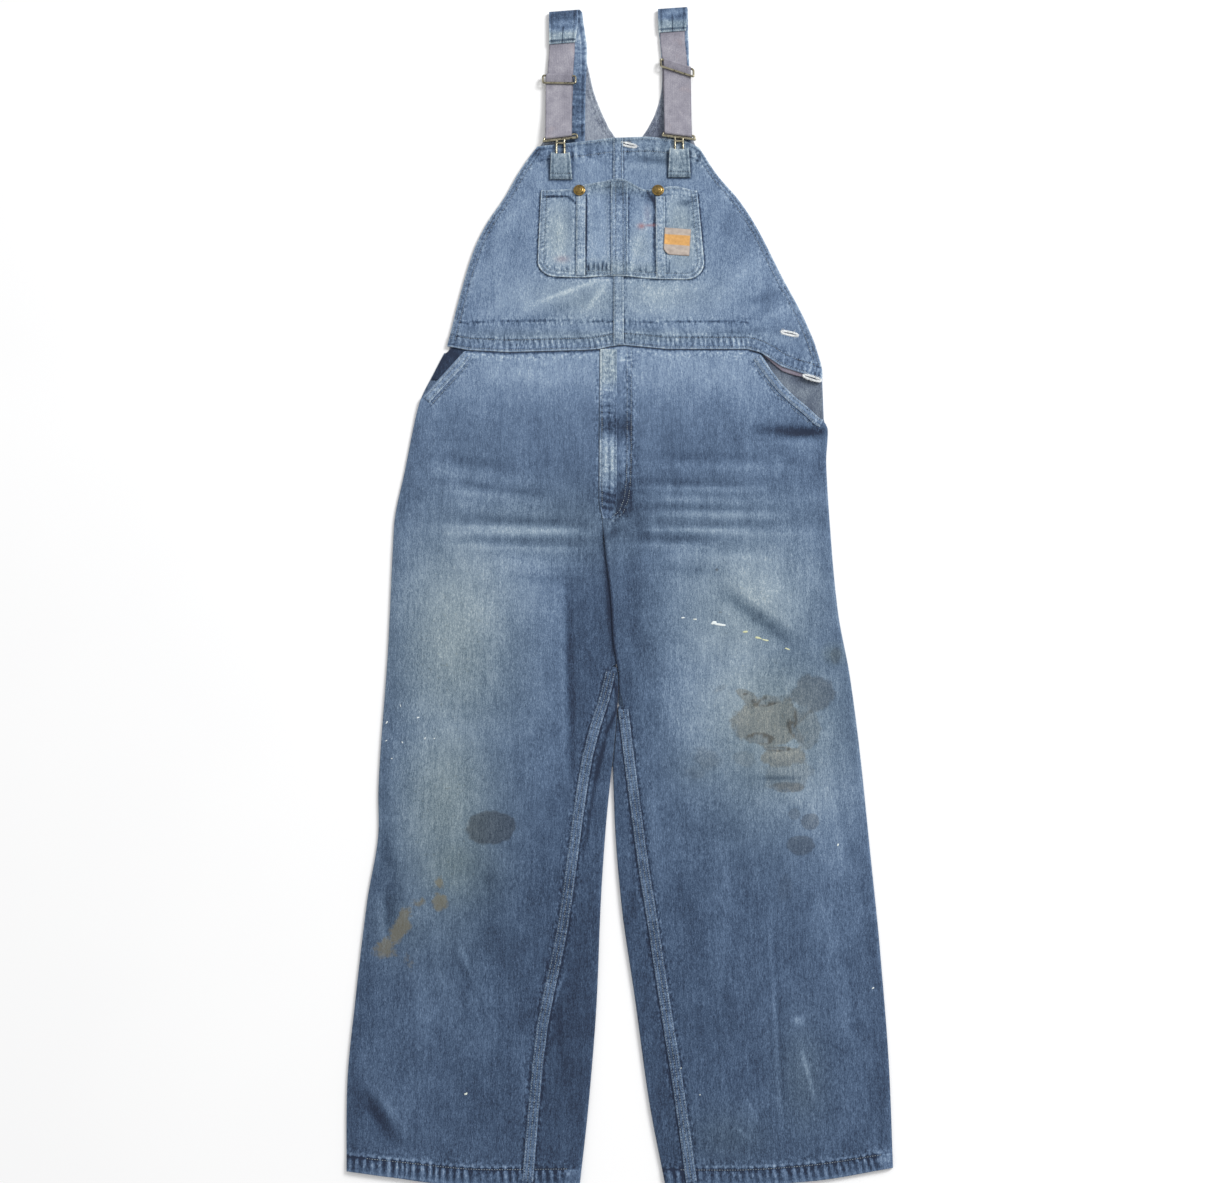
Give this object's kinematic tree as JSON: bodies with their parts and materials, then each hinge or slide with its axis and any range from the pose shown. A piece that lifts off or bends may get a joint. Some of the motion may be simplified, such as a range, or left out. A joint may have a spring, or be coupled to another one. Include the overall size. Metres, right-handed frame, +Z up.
{
  "type": "bib dungarees",
  "caption": "Worn bib dungarees in faded, paint-spattered denim, laid flat on their back, with a bib pocket, elastic braces and wire clasps.",
  "frame": {"origin": "middle of the footprint, on the surface the garment lies on", "axes": "+Y from the hems towards the braces, +Z up off the surface, +X to the right for someone facing the front of the bib"},
  "size_m": [0.6619, 1.6217, 0.0114],
  "materials": {
    "denim": "faded mid-blue denim, matt twill",
    "denim_dark": "darker blue denim, matt twill",
    "denim_pale": "pale washed denim, matt twill",
    "denim_wrong_side": "grey wrong side of denim, matt",
    "seam_denim": "worn pale denim seams, matt",
    "mauve_facing": "mauve-grey facing cloth, matt",
    "webbing": "mauve-grey elastic webbing, matt",
    "label": "blank woven label, smooth",
    "brass": "dull polished brass-coloured wire and caps",
    "thread": "pale sewing thread, matt",
    "paint": "dried off-white paint"
  },
  "bodies": {
    "root": {"left_back_leg": "denim_dark", "right_back_leg": "denim_dark", "high_back": "denim_wrong_side", "left_front_leg": "denim", "right_front_leg": "denim", "left_inseam": "seam_denim", "right_inseam": "seam_denim", "left_pocket_facing": "denim_dark", "right_pocket_facing": "denim_dark", "left_pocket_band": "seam_denim", "right_pocket_band": "seam_denim", "bib_left": "denim_pale", "bib_right": "denim_pale", "side_flap_facing": "mauve_facing", "bib_centre_seam": "seam_denim", "bib_pocket": "denim_pale", "pocket_strip_left": "seam_denim", "pocket_strip_centre": "seam_denim", "pocket_strip_right": "seam_denim", "label_patch": "label", "rivet_left": "brass", "rivet_right": "brass", "fly_placket": "seam_denim", "left_strap": "denim", "right_strap": "denim", "left_elastic": "webbing", "right_elastic": "webbing", "left_slider": "brass", "right_slider": "brass", "left_clasp": "brass", "right_clasp": "brass", "left_tab": "denim_pale", "right_tab": "denim_pale"}
  },
  "joints": []
}
